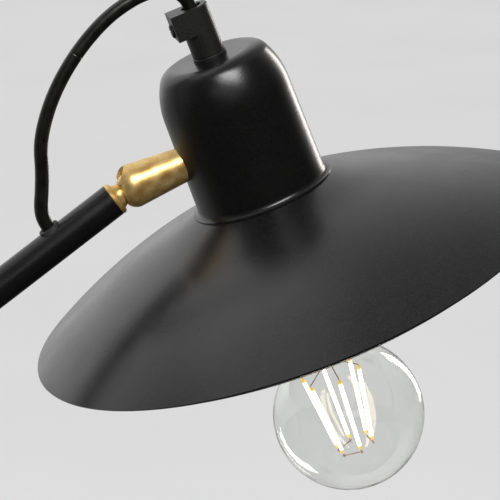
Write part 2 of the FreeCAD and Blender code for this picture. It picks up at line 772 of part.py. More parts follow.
def make_cup():
    """The cup: a lip with a hollow curve, a side, its upper curve and a rounded shoulder."""
    taper, slope = d.cup_taper, d.cup_break
    foot = cup_foot()
    bend_rise = d.cup_bend * (sine(slope) - sine(taper))
    round_rise = d.cup_round * (1 - sine(slope))
    side_top = d.cup_height - bend_rise - round_rise
    side_radius = foot[0] - (side_top - foot[1]) * tangent(taper)
    bend_centre = (side_radius - d.cup_bend * cosine(taper), side_top - d.cup_bend * sine(taper))
    step = d.cup_bend - d.cup_round
    round_centre = (bend_centre[0] + step * cosine(slope), bend_centre[1] + step * sine(slope))

    def on_arc(centre, radius, angle):
        return (centre[0] + radius * cosine(angle), centre[1] + radius * sine(angle))

    hole = d.thread_radius + d.play
    sheet = d.cup_sheet
    inner_bend = d.cup_bend - sheet
    inner_round = d.cup_round - sheet
    cup = turned("socket_cup", [
        (d.cup_radius, 0), (d.cup_radius, d.cup_lip), foot, (side_radius, side_top),
        on_arc(bend_centre, d.cup_bend, slope), (round_centre[0], d.cup_height),
        (hole, d.cup_height), (hole, d.cup_height - sheet),
        (round_centre[0], d.cup_height - sheet), on_arc(bend_centre, inner_bend, slope),
        on_arc(bend_centre, inner_bend, taper), (foot[0] - sheet, 0),
    ], {1: -(d.cup_radius - d.cup_side), 3: d.cup_bend, 4: d.cup_round, 8: -inner_round,
        9: -inner_bend})
    stud_hole = rod("cup_stud_hole", hole, (-d.cup_radius - 5, 0, d.ball_rise), 20, axis="x")
    node(cut("socket_cup", cup, stud_hole), "socket_cup", HEAD_FRAME)


# ---------------------------------------------------------------- shades

def shade_waist():
    """Where the hollow and the crowned curve of the upper shade meet."""
    across = d.bend_top * (sine(d.slope_top) - sine(d.slope_waist))
    down = d.bend_top * (cosine(d.slope_waist) - cosine(d.slope_top))
    return (d.cup_radius + across, -down)


def shade_rim():
    """The outer corner of the upper shade's rim."""
    waist = shade_waist()
    across = d.bend_rim * (sine(d.slope_rim) - sine(d.slope_waist))
    down = d.bend_rim * (cosine(d.slope_waist) - cosine(d.slope_rim))
    return (waist[0] + across, waist[1] - down)


def beneath(point, slope, sheet):
    """The point of a sloping sheet's inside that is opposite a point of its outside."""
    return (point[0] - sheet * sine(slope), point[1] - sheet * cosine(slope))


def make_shades():
    sheet = d.shade_sheet
    start = (d.cup_radius, size(0))
    waist = shade_waist()
    rim = shade_rim()
    upper = turned("upper_shade", [
        (d.shade_hole, 0), start, waist, rim, beneath(rim, d.slope_rim, sheet),
        beneath(waist, d.slope_waist, sheet), beneath(start, d.slope_top, sheet),
        (d.shade_hole, -sheet),
    ], {1: d.bend_top, 2: -d.bend_rim, 4: d.bend_rim - sheet, 5: -(d.bend_top + sheet)})
    node(upper, "upper_shade", HEAD_FRAME)

    # The lower shade is a shallow spherical dish with a lip that stands against the
    # inside of the upper shade.
    inner_bend = d.under_bend - d.under_sheet
    edge = rim[1] - d.under_drop
    centre = edge + leg(d.under_bend, d.under_radius)
    lip_outside = d.under_radius - 0.6
    lip_gap = 0.15
    lip_foot = edge + 0.5
    lip_inside = lip_outside - d.under_sheet
    touch = beneath(rim, d.slope_rim, sheet)
    slope = tangent(d.slope_rim)

    def lip_top(radius):
        return touch[1] + (touch[0] - radius) * slope - lip_gap

    lower = turned("lower_shade", [
        (d.under_hole, centre - leg(d.under_bend, d.under_hole)), (d.under_radius, edge),
        (lip_outside, lip_foot), (lip_outside, lip_top(lip_outside)),
        (lip_inside, lip_top(lip_inside)),
        (lip_inside, centre - leg(inner_bend, lip_inside)),
        (d.under_hole, centre - leg(inner_bend, d.under_hole)),
    ], {0: d.under_bend, 5: -inner_bend})
    node(lower, "lower_shade", HEAD_FRAME)


# ---------------------------------------------------------------- cord grip

def make_grip():
    """The threaded tube through the cup, and the cord grip screwed on its upper end."""
    hole = d.thread_radius + d.play
    seat = d.cup_height
    collar_top = seat + d.collar_height
    top = seat + d.grip_height
    step = seat + d.grip_step
    cord_hole = d.cord_radius + d.play
    tube_low, tube_top = -30, collar_top + 8
    tube = ring("threaded_tube", d.thread_bore, d.thread_radius, tube_low, tube_top)
    node(tube, "threaded_tube", HEAD_FRAME)
    node(lamp_nut("cup_nut", seat - d.cup_sheet - d.nut_height), "cup_nut", HEAD_FRAME)
    bevel = 0.4
    collar = turned("grip_collar", [
        (hole, seat), (d.collar_radius, seat), (d.collar_radius, collar_top - bevel),
        (d.collar_radius - bevel, collar_top), (hole, collar_top),
    ])
    node(collar, "grip_collar", HEAD_FRAME)

    thread_end = tube_top + 1
    edge = 0.5
    funnel = cord_hole + 1.6
    funnel_low, funnel_foot = top - 3.5, top - 4.5
    barrel = turned("grip_barrel", [
        (hole, collar_top), (d.grip_radius - edge, collar_top),
        (d.grip_radius - edge, collar_top + bevel), (d.grip_radius, collar_top + bevel),
        (d.grip_radius, top - edge), (d.grip_radius - edge, top), (funnel, top),
        (funnel, funnel_low), (cord_hole, funnel_foot), (cord_hole, thread_end),
        (hole, thread_end),
    ])
    jaw_back = 1.9
    jaw = block(
        "grip_jaw", (-d.grip_block, -d.grip_radius, step),
        (d.grip_block + jaw_back, 2 * d.grip_radius, top - step),
    )
    jaw_bore = rod("grip_jaw_bore", d.grip_radius - 0.6, (0, 0, step - 1), d.grip_height)
    screw_height = (step + top) / 2 - 1.6
    screw_radius = size(1.9)
    reach = 20
    screw_hole = rod(
        "grip_screw_hole", screw_radius + 0.1, (-reach, 0, screw_height), reach, axis="x"
    )
    body = joined("cord_grip_blank", barrel, cut("grip_jaw_shaped", jaw, jaw_bore))
    node(cut("cord_grip", body, screw_hole), "cord_grip", HEAD_FRAME)
    make_grip_screw(screw_height, screw_radius, -cord_hole)


def make_grip_screw(screw_height, screw_radius, cord_side):
    """The slotted side screw and the pad by which it holds the cord."""
    pad_height = 1.8
    screw_start = cord_side - pad_height
    face = -d.grip_block
    head_radius, head_height, bevel = 3.5, 1.3, 0.4
    head_top = face - head_height
    screw = turned("grip_screw_blank", [
        (0, screw_start), (screw_radius, screw_start), (screw_radius, face),
        (head_radius, face), (head_radius, head_top + bevel), (head_radius - 0.5, head_top),
        (0, head_top),
    ])
    slit_width, slit_depth = 0.8, 0.6
    slit = block(
        "grip_screw_slit", (-slit_width / 2, -head_radius - 0.5, head_top + slit_depth - 1.3),
        (slit_width, 2 * head_radius + 1, 1.3),
    )
    screw_frame = frame_text(point_in(SEAM, HEAD_TURN, size(0), screw_height), HEAD_TURN + 90)
    node(cut("grip_screw", screw, slit), "grip_screw", screw_frame)
    node(ring("grip_pad", 0, screw_radius, screw_start, cord_side), "grip_pad", screw_frame)


# ---------------------------------------------------------------- lampholder and bulb

def make_lampholder():
    """A two-part holder with its ring, and the insert, thread and contact inside it."""
    hole = d.thread_radius + d.play
    sleeve = d.holder_radius
    wall = 2.2
    cap_low, cap_top = size(-38), size(-16)
    cap_radius, cap_sheet = sleeve - 0.5, 2
    shoulder = cap_top - 9
    crown = 11
    cap = turned("holder_cap", [
        (hole, cap_top), (crown, cap_top), (cap_radius, shoulder), (cap_radius, cap_low),
        (sleeve - wall, cap_low), (sleeve - wall, shoulder - 0.6),
        (crown - 0.6, cap_top - cap_sheet), (hole, cap_top - cap_sheet),
    ])
    node(cap, "holder_cap", HEAD_FRAME)

    body_top = cap_low - d.play
    flange_low = shade_rim()[1] - 31.0
    flange_top = flange_low + 2
    flange_radius = sleeve + 4
    body_low = flange_low - 6
    body = turned("holder_body", [
        (sleeve - wall, body_top), (sleeve, body_top), (sleeve, flange_top),
        (flange_radius, flange_top), (flange_radius, flange_low), (sleeve, flange_low),
        (sleeve, body_low), (sleeve - wall, body_low),
    ])
    node(body, "holder_body", HEAD_FRAME)

    ring_top = flange_low - 1.4
    ring_edge = ring_top - 1.2
    ring_low = ring_edge - 4
    ring_radius, ring_slope = sleeve + 7, 4
    shade_ring = turned("shade_ring", [
        (sleeve + d.play, ring_top), (ring_radius, ring_top), (ring_radius, ring_edge),
        (ring_radius - ring_slope, ring_low), (sleeve + d.play, ring_low),
    ])
    node(shade_ring, "shade_ring", HEAD_FRAME)

    core = sleeve - wall - d.play
    thread = d.cap_radius + 0.9
    thread_sheet = 0.5
    insert_low, socket_top = -79, -46
    insert_bore = thread + thread_sheet + 0.1
    insert = turned("holder_insert", [
        (0, cap_low), (core, cap_low), (core, insert_low), (insert_bore, insert_low),
        (insert_bore, socket_top), (0, socket_top),
    ])
    node(insert, "holder_insert", HEAD_FRAME)
    shell = ring("thread_shell", thread, thread + thread_sheet, -74, socket_top - 0.5)
    node(shell, "thread_shell", HEAD_FRAME)
    disc_radius, disc_sheet, tip_radius, tip_low = 6, 0.6, 3.2, socket_top - 5.8
    contact = turned("centre_contact", [
        (0, socket_top), (disc_radius, socket_top), (disc_radius, socket_top - disc_sheet),
        (tip_radius, tip_low), (0, tip_low),
    ])
    node(contact, "centre_contact", HEAD_FRAME)


def make_bulb_cap():
    """The screw cap with its ridges, and the insulator and contact on its end."""
    cap_low = -d.cap_drop
    skin = size(0.4)
    ridge, pitch, turns = 0.5, 3.2, 6
    plain_end = 2.0
    crest = d.cap_radius
    valley = crest - ridge
    outside = [(crest, cap_low)]
    for number in range(turns):
        base = cap_low + plain_end + number * pitch
        outside += [(valley, base), (crest, base + pitch / 2)]
    cap_top = cap_low + plain_end + turns * pitch
    insulator_low = cap_top + 1.6
    insulator_radius = 9.5
    outside += [(valley, cap_top), (insulator_radius, insulator_low)]
    inside = [(insulator_radius - 0.5, insulator_low), (valley - skin, cap_top - 0.5),
              (valley - skin, cap_low)]
    node(turned("bulb_cap", outside + inside), "bulb_cap", HEAD_FRAME)

    insulator_top = insulator_low + 2.6
    insulator = turned("cap_insulator", [
        (0, insulator_low), (insulator_radius, insulator_low), (5.0, insulator_top),
        (0, insulator_top),
    ])
    node(insulator, "cap_insulator", HEAD_FRAME)
    contact_radius = 4.8
    tip = turned("bulb_contact", [
        (0, insulator_top), (contact_radius, insulator_top),
        (contact_radius - 0.6, insulator_top + 0.8), (0, insulator_top + 1.2),
    ])
    node(tip, "bulb_contact", HEAD_FRAME)


def make_bulb():
    """The glass: a straight neck, a hollow rounding and the globe, all one wall thick."""
    make_bulb_cap()
    centre = -d.globe_drop
    wall = d.globe_glass
    round_radius = d.bulb_neck + d.neck_round
    reach = d.globe_radius + d.neck_round
    round_height = centre + leg(reach, round_radius)

    def meeting(radius):
        """Where the rounding meets a sphere of this radius about the globe's centre."""
        return (radius * round_radius / reach, centre + radius * leg(reach, round_radius) / reach)

    inner_globe = d.globe_radius - wall
    neck_top = -d.cap_drop - d.play
    glass = turned("bulb_glass", [
        (d.bulb_neck, neck_top), (d.bulb_neck - wall, neck_top),
        (d.bulb_neck - wall, round_height), meeting(inner_globe), (inner_globe, centre),
        (0, centre - inner_globe), (0, centre - d.globe_radius), (d.globe_radius, centre),
        meeting(d.globe_radius), (d.bulb_neck, round_height),
    ], {2: d.neck_round + wall, 3: -inner_globe, 4: -inner_globe, 6: d.globe_radius,
        7: d.globe_radius, 8: -d.neck_round})
    node(glass, "bulb_glass", HEAD_FRAME)

    flare, flare_hollow, waist, tip = 9.5, 9, 4.2, 3.0
    waist_height, tip_height, stem_end = neck_top - 7, neck_top - 20, neck_top - 23
    stem = turned("bulb_stem", [
        (0, neck_top), (flare, neck_top), (waist, waist_height), (tip, tip_height),
        (0, stem_end),
    ], {1: -flare_hollow})
    node(stem, "bulb_stem", HEAD_FRAME)
    make_filaments(centre.value, tip_height.value - 1)


def make_filaments(centre, hub_height):
    """Six LED filaments in a narrowing crown, and the wires that hold and join them."""
    count = 6
    top_radius, low_radius = 16.0, 9.5
    top = centre + 25.0
    low = centre - 19.0
    twist = math.radians(d.filament_twist.value)
    wire = 0.3
    weld_gap = 0.35
    hub_radius = 2.5
    rods, wires, tops, lows = [], [], [], []
    for number in range(count):
        angle = twist + 2 * math.pi * number / count
        tops.append(Vector(top_radius * math.cos(angle), top_radius * math.sin(angle), top))
        lows.append(Vector(low_radius * math.cos(angle), low_radius * math.sin(angle), low))
    hub = Vector(0, 0, hub_height)
    for upper, lower in zip(tops, lows):
        along = (lower - upper).normalize()
        span = (lower - upper).Length
        rods.append(Part.makeCylinder(d.filament_radius.value, span, upper, along))
        start = upper - along * weld_gap
        to_hub = hub - start + (start - hub).normalize() * hub_radius
        wires.append(Part.makeCylinder(wire, to_hub.Length, start, to_hub))
    link_drop, leg_drop = 1.2, 1.75
    for first in range(0, count, 2):
        start = lows[first] - Vector(0, 0, link_drop)
        end = lows[first + 1] - Vector(0, 0, link_drop)
        link = Part.makeCylinder(wire, (end - start).Length, start, end - start)
        for leg_top in (lows[first], lows[first + 1]):
            foot = leg_top - Vector(0, 0, leg_drop)
            drop = Part.makeCylinder(wire, leg_drop - weld_gap, foot, Vector(0, 0, 1))
            link = link.fuse(drop)
        wires.append(link.removeSplitter())
    for name, shapes in (("filaments", rods), ("filament_wires", wires)):
        group = doc.addObject("Part::Feature", name + "_group")
        group.Shape = Part.makeCompound(shapes)
        node(group, name, HEAD_FRAME)


# ---------------------------------------------------------------- cord

# The cord's route from the arm's tube to the cord grip, (x, z) from the seam's centre
# in the plane y = 0.  It loops up over the swivel.
CORD_ROUTE = [
    (-108.3, -16.0), (-111.9, -11.0), (-114.1, -4.0), (-113.2, 6.2), (-112.8, 17.2),
    (-113.5, 29.6), (-110.9, 42.2), (-106.1, 55.3), (-99.0, 68.5), (-90.0, 80.9),
    (-79.9, 91.6), (-70.0, 98.9), (-60.1, 104.0), (-50.4, 105.9), (-42.3, 103.9),
    (-37.5, 98.7), (-34.8, 91.6),
]
CORD_MIDDLE = 8
ARC_SHARE = 0.45


def cord_path(points):
    """Straight runs joined by tangent arcs, each as large as its two runs allow."""
    edges, radii = [], []
    start = points[0]
    for before, corner, after in zip(points, points[1:], points[2:]):
        back = before - corner
        ahead = after - corner
        half_turn = (math.pi - back.getAngle(ahead)) / 2
        reach = ARC_SHARE * min(back.Length, ahead.Length)
        radius = reach / math.tan(half_turn)
        back.normalize()
        ahead.normalize()
        entry = corner + back * reach
        leave = corner + ahead * reach
        inward = (back + ahead).normalize()
        middle = corner + inward * (radius / math.cos(half_turn) - radius)
        edges.append(Part.LineSegment(start, entry).toShape())
        edges.append(Part.Arc(entry, middle, leave).toShape())
        radii.append(radius)
        start = leave
    edges.append(Part.LineSegment(start, points[-1]).toShape())
    return Part.Wire(edges), radii


def make_cord():
    seam = Vector(SEAM[0].value, 0, SEAM[2].value)
    route = [seam + Vector(x, 0, z) for x, z in CORD_ROUTE]
    # The two lengths meet face to face in the middle of one straight run.
    meeting = (route[CORD_MIDDLE] + route[CORD_MIDDLE + 1]) / 2
    lengths = (
        ("cord_arm_side", route[:CORD_MIDDLE + 1] + [meeting]),
        ("cord_head_side", [meeting] + route[CORD_MIDDLE + 1:]),
    )
    for name, points in lengths:
        wire, radii = cord_path(points)
        direction = points[1] - points[0]
        circle = Part.Circle(points[0], direction, d.cord_radius.value)
        tube = wire.makePipeShell([Part.Wire(circle.toShape())], True, False)
        section = math.pi * d.cord_radius.value ** 2
        print(name, "radii", [round(radius, 1) for radius in radii])
        print(name, "length", round(wire.Length, 1), "volume over section times length",
              round(tube.Volume / (section * wire.Length), 4))
        piece = doc.addObject("Part::Feature", name + "_tube")
        piece.Shape = tube
        node(piece, name, STAND_FRAME)


# ---------------------------------------------------------------- build and write

make_foot()
make_pole()
make_yoke()
make_arm()
make_barrel()
make_cup()
make_shades()
make_grip()
make_lampholder()
make_bulb()
make_cord()
doc.recompute()

faults = [o.Name for o in doc.Objects if "Invalid" in o.State or "Error" in o.State]
for piece in nodes:
    if piece.Shape.isNull() or not piece.Shape.isValid():
        faults.append(piece.Label)
if faults:
    raise RuntimeError(f"these objects failed: {faults}")

os.makedirs("parts", exist_ok=True)
for piece in nodes:
    piece.Shape.exportStep(f"parts/{piece.Label}.step")
print(len(nodes), "sub-parts written")
for label, point in (("pivot", PIVOT), ("ball", BALL), ("seam", SEAM)):
    print(label, [round(axis.value, 2) for axis in point])
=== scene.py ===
"""Looks of the adjustable arm floor lamp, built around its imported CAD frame. Metres."""
import json
import math

import bpy
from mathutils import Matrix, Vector


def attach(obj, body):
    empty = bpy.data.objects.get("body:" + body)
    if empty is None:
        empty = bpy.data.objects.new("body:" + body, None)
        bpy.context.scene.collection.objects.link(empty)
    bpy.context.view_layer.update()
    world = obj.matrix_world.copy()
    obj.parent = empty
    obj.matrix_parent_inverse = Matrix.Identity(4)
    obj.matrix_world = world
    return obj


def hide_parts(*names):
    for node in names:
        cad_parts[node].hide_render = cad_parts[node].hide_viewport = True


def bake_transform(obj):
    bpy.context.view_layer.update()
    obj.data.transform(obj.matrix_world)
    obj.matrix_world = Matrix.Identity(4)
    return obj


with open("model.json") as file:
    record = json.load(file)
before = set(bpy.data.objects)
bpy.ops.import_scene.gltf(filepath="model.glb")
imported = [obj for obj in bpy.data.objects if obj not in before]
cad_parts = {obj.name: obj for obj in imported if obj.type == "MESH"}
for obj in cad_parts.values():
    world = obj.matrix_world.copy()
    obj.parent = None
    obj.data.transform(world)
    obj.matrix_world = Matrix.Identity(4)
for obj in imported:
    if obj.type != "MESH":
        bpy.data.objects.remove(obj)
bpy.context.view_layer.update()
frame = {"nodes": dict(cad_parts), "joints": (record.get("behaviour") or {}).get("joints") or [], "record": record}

# ---------------------------------------------------------------- places on the lamp

JOINTS = {joint["name"]: joint for joint in frame["joints"]}
BALL = Vector(JOINTS["head_tilt"]["pos_m"])
HEAD_LEAN = math.radians(20.8)
HEAD_ACROSS = Vector((math.cos(HEAD_LEAN), 0, math.sin(HEAD_LEAN)))
HEAD_UP = Vector((-math.sin(HEAD_LEAN), 0, math.cos(HEAD_LEAN)))
BALL_OFFSET = 0.0614
BALL_RISE = 0.0299
# Centre of the seam between the cup and the shade, on the head's axis.
SEAM = BALL + BALL_OFFSET * HEAD_ACROSS - BALL_RISE * HEAD_UP

# The cord's route from the arm's tube to the cord grip, (x, z) from the seam.
CORD_ROUTE = [
    (-0.1083, -0.0160), (-0.1119, -0.0110), (-0.1141, -0.0040), (-0.1132, 0.0062),
    (-0.1128, 0.0172), (-0.1135, 0.0296), (-0.1109, 0.0422), (-0.1061, 0.0553),
    (-0.0990, 0.0685), (-0.0900, 0.0809), (-0.0799, 0.0916), (-0.0700, 0.0989),
    (-0.0601, 0.1040), (-0.0504, 0.1059), (-0.0423, 0.1039), (-0.0375, 0.0987),
    (-0.0348, 0.0916),
]
CORD_MIDDLE = 8
CORD_DIAMETER = 0.0071
TUBE_SIDES = 32
LINE_STEPS = 16

# ---------------------------------------------------------------- where the camera stands

LOOK_TURN = math.radians(-12)
LOOK_DOWN = math.radians(15)
RIGHT = Vector((math.cos(LOOK_TURN), math.sin(LOOK_TURN), 0))
NEAR = Vector((math.sin(LOOK_TURN), -math.cos(LOOK_TURN), 0))
VERTICAL = Vector((0, 0, 1))
TO_CAMERA = math.cos(LOOK_DOWN) * NEAR + math.sin(LOOK_DOWN) * VERTICAL
CAMERA_UP = math.cos(LOOK_DOWN) * VERTICAL - math.sin(LOOK_DOWN) * NEAR
CAMERA_DISTANCE = 1.2323
CAMERA_LEFT = 0.00637
CAMERA_LOWER = 0.02983
LENS_MM = 173.5
SENSOR_MM = 36


def make_camera():
    data = bpy.data.cameras.new("camera")
    data.lens = LENS_MM
    data.sensor_width = SENSOR_MM
    data.clip_start = 0.05
    data.clip_end = 200
    camera = bpy.data.objects.new("camera", data)
    camera.location = (
        SEAM - CAMERA_LEFT * RIGHT - CAMERA_LOWER * CAMERA_UP + CAMERA_DISTANCE * TO_CAMERA
    )
    camera.rotation_mode = "QUATERNION"
    camera.rotation_quaternion = (-TO_CAMERA).to_track_quat("-Z", "Y")
    bpy.context.scene.collection.objects.link(camera)
    bpy.context.scene.camera = camera


# ---------------------------------------------------------------- one material's nodes


class Finish:
    """A material around one Principled shader, with short ways to add procedural detail."""

    def __init__(self, name, **settings):
        self.material = bpy.data.materials.new(name)
        self.material.use_nodes = True
        self.tree = self.material.node_tree
        self.shader = self.tree.nodes["Principled BSDF"]
        self.place = self.tree.nodes.new("ShaderNodeTexCoord").outputs["Object"]
        for socket, value in settings.items():
            self.shader.inputs[socket.replace("_", " ")].default_value = value

    def node(self, kind, **inputs):
        made = self.tree.nodes.new(kind)
        for socket, value in inputs.items():
            self.feed(made.inputs[socket], value)
        return made

    def feed(self, socket, value):
        if isinstance(value, bpy.types.NodeSocket):
            self.tree.links.new(value, socket)
        else:
            socket.default_value = value

    def noise(self, size, detail=2.0, stretch=None):
        """Noise from 0 to 1 whose features are about size metres across."""
        place = self.place
        if stretch:
            scaled = self.node("ShaderNodeVectorMath", Vector=self.place)
            scaled.operation = "MULTIPLY"
            scaled.inputs[1].default_value = stretch
            place = scaled.outputs[0]
        made = self.node("ShaderNodeTexNoise", Vector=place, Scale=1 / size, Detail=detail)
        return made.outputs["Fac"]

    def spread(self, value, low, high, start=0.35, end=0.65):
        """The value from start to end spread over low to high."""
        made = self.node("ShaderNodeMapRange", Value=value)
        for socket, limit in (("From Min", start), ("From Max", end), ("To Min", low), ("To Max", high)):
            made.inputs[socket].default_value = limit
        return made.outputs["Result"]

    def colours(self, value, stops):
        """A colour ramp with (position, (r, g, b)) stops."""
        made = self.node("ShaderNodeValToRGB", Fac=value)
        ramp = made.color_ramp
        while len(ramp.elements) < len(stops):
            ramp.elements.new(0.5)
        for element, (position, colour) in zip(ramp.elements, stops):
            element.position = position
            element.color = (*colour, 1)
        return made.outputs["Color"]

    def colour(self, value):
        self.feed(self.shader.inputs["Base Color"], value)

    def rough(self, value):
        self.feed(self.shader.inputs["Roughness"], value)

    def bump(self, height, distance, strength=1.0):
        made = self.node("ShaderNodeBump", Height=height, Distance=distance, Strength=strength)
        self.feed(self.shader.inputs["Normal"], made.outputs["Normal"])

    def along(self, origin, direction):
        """Distance from origin along direction, in metres."""
        moved = self.node("ShaderNodeVectorMath", Vector=self.place)
        moved.operation = "SUBTRACT"
        moved.inputs[1].default_value = origin
        made = self.node("ShaderNodeVectorMath", Vector=moved.outputs[0])
        made.operation = "DOT_PRODUCT"
        made.inputs[1].default_value = direction
        return made.outputs["Value"]


# ---------------------------------------------------------------- materials


def powder_coat(name, dark, light, smooth, rough, grain=0.0009, height=0.00004):
    """Satin powder coat: an orange-peel skin with fine specks and cloudy gloss."""
    finish = Finish(name, IOR=1.5)
    specks = finish.noise(grain, detail=3)
    finish.colour(finish.colours(specks, [(0.42, dark), (0.66, light)]))
    finish.rough(finish.spread(finish.noise(0.02), smooth, rough))
    finish.bump(specks, height)
    return finish.material


def satin_black():
    return powder_coat("satin_black", (0.0026, 0.0026, 0.0025), (0.0050, 0.0049, 0.0047), 0.25, 0.30)


def shade_black():
    return powder_coat(
        "shade_black", (0.0022, 0.0022, 0.0024), (0.0080, 0.0077, 0.0074), 0.23, 0.28, height=0.00006
    )


# Painted light: this coat is a lighter, warm brown instead of black, standing in for the bulb's warm light and the
# grazing sheen on the shade's underside.
def underside_black():
    return powder_coat("underside_black", (0.0220, 0.0170, 0.0130), (0.0340, 0.0270, 0.0210), 0.42, 0.5)


def cast_iron():
    finish = Finish("cast_iron", Metallic=0.7)
    grain = finish.noise(0.0025, detail=5)
    finish.colour(finish.colours(grain, [(0.3, (0.05, 0.05, 0.052)), (0.7, (0.16, 0.155, 0.15))]))
    finish.rough(finish.spread(grain, 0.5, 0.75))
    finish.bump(grain, 0.0004)
    return finish.material


def rubber_black():
    finish = Finish("rubber_black")
    grain = finish.noise(0.0012, detail=4)
    finish.colour(finish.colours(grain, [(0.3, (0.012, 0.012, 0.012)), (0.7, (0.026, 0.026, 0.026))]))
    finish.rough(finish.spread(grain, 0.62, 0.8))
    finish.bump(grain, 0.00008)
    return finish.material


def brass():
    """Satin lacquered brass with faint lathe lines and warm clouds of tarnish."""
    finish = Finish("brass", Metallic=0.78)
    clouds = finish.noise(0.006, detail=5)
    finish.colour(finish.colours(clouds, [(0.32, (0.52, 0.30, 0.075)), (0.68, (0.78, 0.57, 0.25))]))
    lines = finish.noise(0.0006, detail=2, stretch=(1.0, 0.12, 0.12))
    finish.rough(finish.spread(clouds, 0.30, 0.40))
    finish.bump(lines, 0.00002)
    return finish.material


def plated(name, dull, bright, smooth, rough):
    """Plated or tinned metal, faintly blotched, with a drawn grain."""
    finish = Finish(name, Metallic=1.0)
    clouds = finish.noise(0.004, detail=4)
    finish.colour(finish.colours(clouds, [(0.3, dull), (0.7, bright)]))
    finish.rough(finish.spread(clouds, smooth, rough))
    finish.bump(finish.noise(0.0004), 0.00002)
    return finish.material


def zinc_steel():
    return plated("zinc_steel", (0.42, 0.43, 0.44), (0.62, 0.62, 0.60), 0.26, 0.4)


def nickel_cap():
    return plated("nickel_cap", (0.55, 0.53, 0.50), (0.74, 0.72, 0.68), 0.16, 0.28)


def solder():
    return plated("solder", (0.45, 0.45, 0.45), (0.66, 0.66, 0.66), 0.35, 0.5)


def support_wire():
    return plated("support_wire", (0.42, 0.17, 0.08), (0.66, 0.34, 0.18), 0.25, 0.4)


def oxide(name):
    finish = Finish(name, Metallic=0.6)
    grain = finish.noise(0.0008, detail=3)
    finish.colour(finish.colours(grain, [(0.35, (0.012, 0.012, 0.013)), (0.65, (0.03, 0.03, 0.032))]))
    finish.rough(finish.spread(grain, 0.3, 0.42))
    finish.bump(grain, 0.00003)
    return finish.material


def black_steel():
    return oxide("black_steel")


def screw_black():
    return oxide("screw_black")


def moulded(name, dark, light, smooth, rough, grain=0.0007, height=0.00004):
    """Moulded plastic with a fine spark-eroded texture."""
    finish = Finish(name, IOR=1.5)
    texture = finish.noise(grain, detail=3)
    finish.colour(finish.colours(texture, [(0.35, dark), (0.65, light)]))
    finish.rough(finish.spread(texture, smooth, rough))
    finish.bump(texture, height)
    return finish.material


def plastic_black():
    return moulded("plastic_black", (0.003, 0.003, 0.003), (0.007, 0.007, 0.007), 0.38, 0.5)


def grip_black():
    return moulded("grip_black", (0.0045, 0.0045, 0.0040), (0.0110, 0.0110, 0.0100), 0.36, 0.46)


def nylon():
    return moulded("nylon", (0.66, 0.64, 0.57), (0.80, 0.79, 0.74), 0.35, 0.5)


def thermoset():
    return moulded("thermoset", (0.008, 0.008, 0.008), (0.014, 0.014, 0.014), 0.16, 0.24)


def porcelain():
    return moulded("porcelain", (0.74, 0.73, 0.68), (0.86, 0.85, 0.82), 0.08, 0.16, grain=0.003)


def cord_black():
    """A PVC sheath, satin, with the slight waviness of extruded plastic."""
    finish = Finish("cord_black", IOR=1.48)
    waves = finish.noise(0.005, detail=2)
    finish.colour(finish.colours(waves, [(0.3, (0.0024, 0.0024, 0.0022)), (0.7, (0.0050, 0.0050, 0.0045))]))
    finish.rough(finish.spread(waves, 0.27, 0.36))
    finish.bump(waves, 0.00012, 0.6)
    return finish.material


def glass(name, tint, ripple):
    """Blown glass, very slightly uneven."""
    finish = Finish(name, Transmission_Weight=1.0, Roughness=0.0, IOR=1.46)
    finish.colour(finish.colours(finish.noise(0.03), [(0.3, tint), (0.7, tuple(t * 1.01 for t in tint))]))
    finish.bump(finish.noise(0.018), ripple)
    return finish.material


def clear_glass():
    return glass("clear_glass", (0.938, 0.946, 0.935), 0.0001)


def stem_glass():
    return glass("stem_glass", (0.93, 0.95, 0.94), 0.0004)


def black_glass():
    return moulded("black_glass", (0.004, 0.004, 0.006), (0.008, 0.008, 0.010), 0.05, 0.1, grain=0.002)


FILAMENT_TOP = -0.1056
FILAMENT_FOOT = -0.1500
FILAMENT_TIP = 0.0045
GLOW_STRENGTH = 5.0


def led_filament():
    """Phosphor-coated LED sticks: white-hot in the middle, amber towards the ends."""
    finish = Finish("led_filament", Roughness=0.5)
    height = finish.along(SEAM, HEAD_UP)
    middle = (FILAMENT_TOP + FILAMENT_FOOT) / 2
    offset = finish.node("ShaderNodeMath", Value=height)
    offset.operation = "SUBTRACT"
    offset.inputs[1].default_value = middle
    distance = finish.node("ShaderNodeMath", Value=offset.outputs[0])
    distance.operation = "ABSOLUTE"
    reach = (FILAMENT_TOP - FILAMENT_FOOT) / 2
    end = finish.spread(distance.outputs[0], 0, 1, start=reach - FILAMENT_TIP, end=reach)
    beads = finish.noise(0.0016, detail=1)
    finish.colour(finish.colours(beads, [(0.3, (0.85, 0.52, 0.12)), (0.7, (0.95, 0.68, 0.24))]))
    stops = [(0.26, (1.0, 0.88, 0.62)), (0.44, (0.17, 0.105, 0.006)), (1.0, (0.13, 0.075, 0.004))]
    glow = finish.colours(end, stops)
    finish.feed(finish.shader.inputs["Emission Color"], glow)
    finish.shader.inputs["Emission Strength"].default_value = GLOW_STRENGTH
    finish.bump(beads, 0.0003)
    return finish.material


FINISHES = (
    satin_black, shade_black, underside_black, cast_iron, rubber_black, brass, zinc_steel,
    black_steel, screw_black, plastic_black, grip_black, nylon, thermoset, porcelain, nickel_cap,
    solder, black_glass, clear_glass, stem_glass, support_wire, cord_black, led_filament,
)


def dress_nodes(materials):
    """Gives every CAD node the finish of its slot in the record."""
    for row in frame["record"]["subparts"]:
        mesh = frame["nodes"][row["node"]].data
        mesh.materials.clear()
        mesh.materials.append(materials[row["material_slot"]])


def round_edges(node, width, angle):
    """Rounds the sharp edges of a CAD node with a modifier."""
    bevel = frame["nodes"][node].modifiers.new("edges", "BEVEL")
    bevel.width = width
    bevel.segments = 3
    bevel.limit_method = "ANGLE"
    bevel.angle_limit = math.radians(angle)
    bevel.harden_normals = True


def soften_edges():
    round_edges("upper_shade", 0.00045, 60)
    round_edges("cord_grip", 0.0009, 60)


# ---------------------------------------------------------------- pieces round the head's axis

